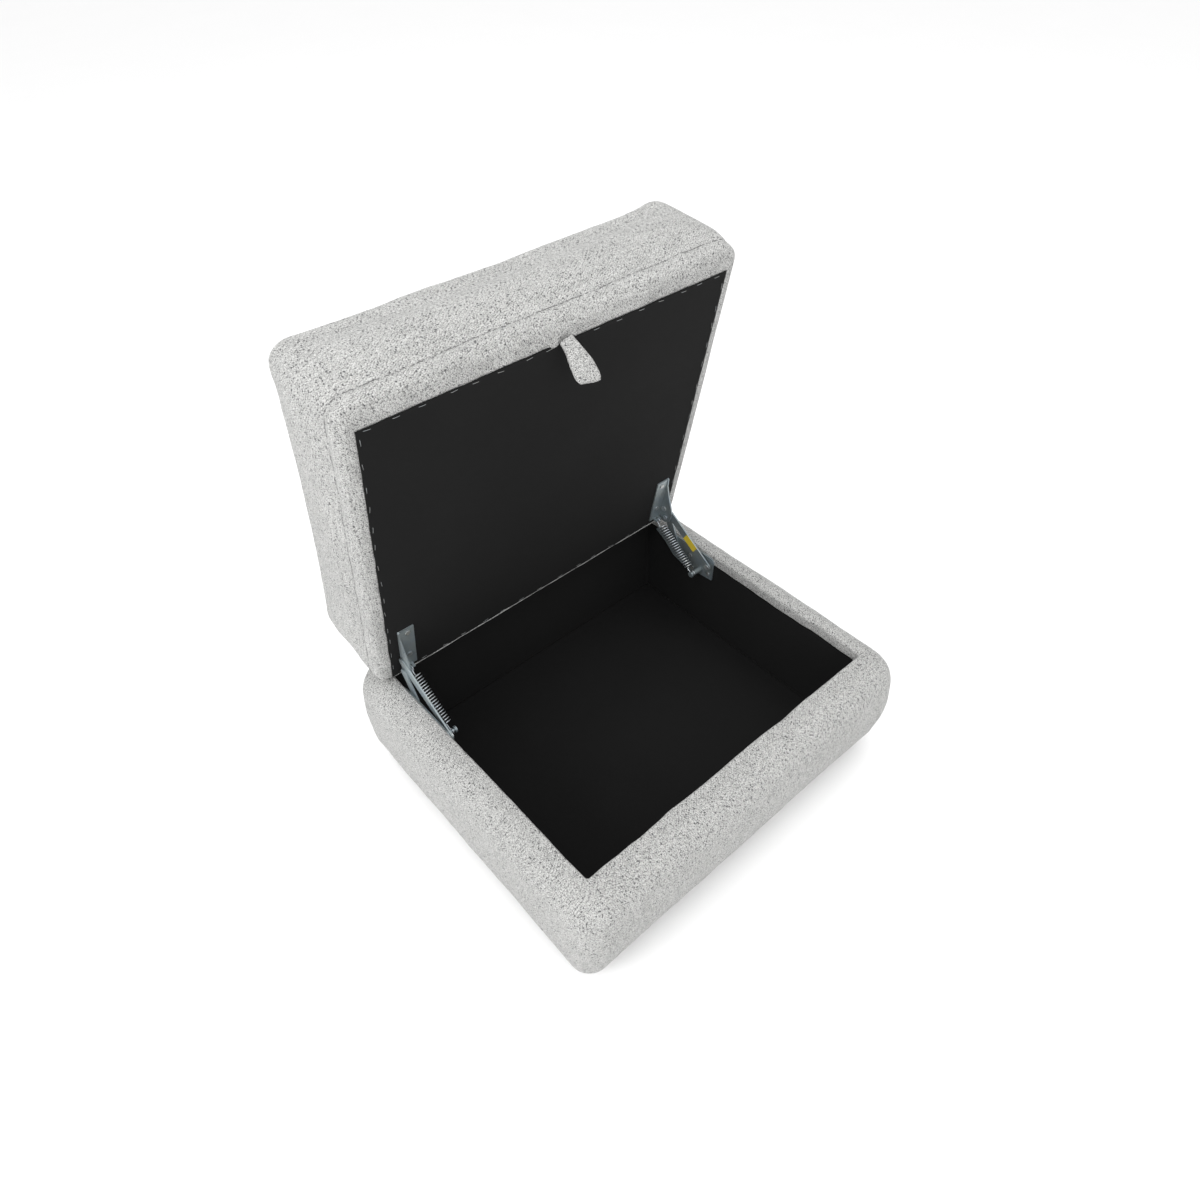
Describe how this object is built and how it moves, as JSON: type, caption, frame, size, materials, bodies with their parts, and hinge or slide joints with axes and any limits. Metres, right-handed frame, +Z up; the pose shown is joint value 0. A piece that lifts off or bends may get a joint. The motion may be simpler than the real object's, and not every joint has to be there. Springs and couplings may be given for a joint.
{
  "type": "ottoman with storage",
  "caption": "Square upholstered storage ottoman with a thick padded lid raised on sprung linkage hinges over a lined box.",
  "frame": {"origin": "centre of the box round the opened piece, on the floor under the glides", "axes": "+Z up; +X to the sitter's right seen from the front; +Y to the back, where the lid hinges"},
  "size_m": [0.65, 0.6535, 0.7645],
  "materials": {
    "boucle": "light grey and white boucle tweed with dark flecks",
    "lining": "matt black non-woven lining cloth",
    "foam": null,
    "wadding": null,
    "plywood": "bare plywood",
    "timber": "bare sawn pine",
    "hinge_steel": "bright zinc plate with a bluish cast",
    "rivet_steel": "bright steel",
    "spring_steel": "zinc-plated spring wire",
    "zinc": "zinc-plated screws and nails",
    "staple_steel": "bright galvanised staple wire",
    "label": "plain yellow film label",
    "glide_plastic": "black moulded plastic"
  },
  "bodies": {
    "base": {"frame_front_panel": "plywood", "frame_back_panel": "plywood", "frame_left_panel": "plywood", "frame_right_panel": "plywood", "frame_screws": "zinc", "floor_board": "plywood", "corner_blocks": "timber", "glides": "glide_plastic", "glide_nails": "zinc", "foam_front": "foam", "foam_back": "foam", "foam_left": "foam", "foam_right": "foam", "base_cover": "boucle", "wall_lining": "lining", "floor_lining": "lining", "dust_cover": "lining", "dust_cover_staples": "staple_steel", "hinge_plate_left": "hinge_steel", "hinge_plate_right": "hinge_steel", "hinge_plate_rivets": "rivet_steel", "hinge_plate_screws": "zinc", "spring_post_left": "rivet_steel", "spring_post_right": "rivet_steel"},
    "long_arms": {"long_arm_left": "hinge_steel", "long_arm_right": "hinge_steel", "hinge_label": "label"},
    "lid": {"lid_board": "plywood", "lid_foam": "foam", "lid_wadding": "wadding", "lid_cover_top": "boucle", "lid_cover_band": "boucle", "lid_lining": "lining", "lid_lining_staples": "staple_steel", "pull_tab": "boucle", "lid_bracket_left": "hinge_steel", "lid_bracket_right": "hinge_steel", "lid_bracket_rivets": "rivet_steel", "lid_bracket_screws": "zinc"},
    "short_links": {"short_link_left": "hinge_steel", "short_link_right": "hinge_steel"},
    "springs": {"spring_left": "spring_steel", "spring_right": "spring_steel", "spring_hooks": "spring_steel"}
  },
  "joints": [
    {"name": "arm_swing", "type": "hinge", "parent": "base", "child": "long_arms", "pos_m": [0, 0.04281, 0.187], "axis": [1, 0, 0], "range_deg": [-24.85, 0]},
    {"name": "lid_hinge", "type": "hinge", "parent": "long_arms", "child": "lid", "pos_m": [0, 0.14976, 0.25622], "axis": [1, 0, 0], "range_deg": [0, 103.35], "deforming": ["pull_tab"]},
    {"name": "link_swing", "type": "hinge", "parent": "base", "child": "short_links", "pos_m": [0, 0.11511, 0.1708], "axis": [1, 0, 0], "range_deg": [-45.1, 0]},
    {"name": "spring_swing", "type": "hinge", "parent": "base", "child": "springs", "pos_m": [0, 0.06281, 0.167], "axis": [1, 0, 0], "range_deg": [-18.4, 0], "deforming": ["spring_hooks"]}
  ],
  "couplings": [
    {"joint": "arm_swing", "follows": "lid_hinge", "ratio": -0.23985},
    {"joint": "link_swing", "follows": "lid_hinge", "ratio": -0.4354},
    {"joint": "spring_swing", "follows": "lid_hinge", "ratio": -0.1771}
  ]
}
